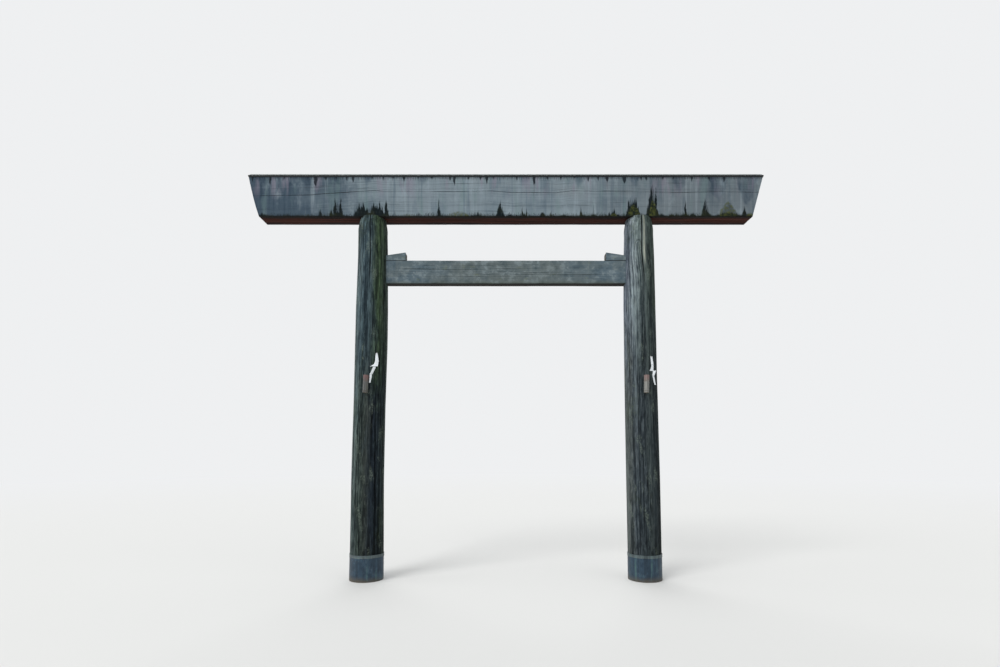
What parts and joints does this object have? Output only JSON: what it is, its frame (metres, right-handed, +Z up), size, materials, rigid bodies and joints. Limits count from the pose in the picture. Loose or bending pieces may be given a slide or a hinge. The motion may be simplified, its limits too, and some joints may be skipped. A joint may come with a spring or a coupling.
{
  "type": "shinmei torii gate",
  "caption": "Plain timber torii: leaning log pillars in metal foot sleeves, a wedged tie beam and a deep lintel with slant-cut ends under a metal cap.",
  "frame": {"origin": "centre of the left pillar's foot, on the ground", "axes": "+X along the lintel from the left pillar to the right one, +Y from the front to the back, +Z up"},
  "size_m": [6.1124, 0.4544, 4.8531],
  "materials": {
    "pillar_wood": "weathered, bare",
    "beam_wood": "weathered, bare",
    "sleeve_metal": "satin, aged",
    "cap_metal": "dark, dull",
    "bamboo": "dry, satin",
    "nail_iron": "rusted",
    "paper": "matte"
  },
  "bodies": {
    "root": {"left_pillar": "pillar_wood", "right_pillar": "pillar_wood", "top_lintel": "beam_wood", "tie_beam": "beam_wood", "left_wedge": "beam_wood", "right_wedge": "beam_wood", "left_foot_sleeve": "sleeve_metal", "right_foot_sleeve": "sleeve_metal", "left_sleeve_band": "sleeve_metal", "right_sleeve_band": "sleeve_metal", "front_cap_left": "cap_metal", "front_cap_middle": "cap_metal", "front_cap_right": "cap_metal", "back_cap_left": "cap_metal", "back_cap_middle": "cap_metal", "back_cap_right": "cap_metal", "ridge_cap": "cap_metal", "left_bamboo_tube": "bamboo", "right_bamboo_tube": "bamboo", "left_tube_nail": "nail_iron", "right_tube_nail": "nail_iron", "left_streamer_nail": "nail_iron", "right_streamer_nail": "nail_iron", "left_paper_streamer": "paper", "right_paper_streamer": "paper"}
  },
  "joints": []
}
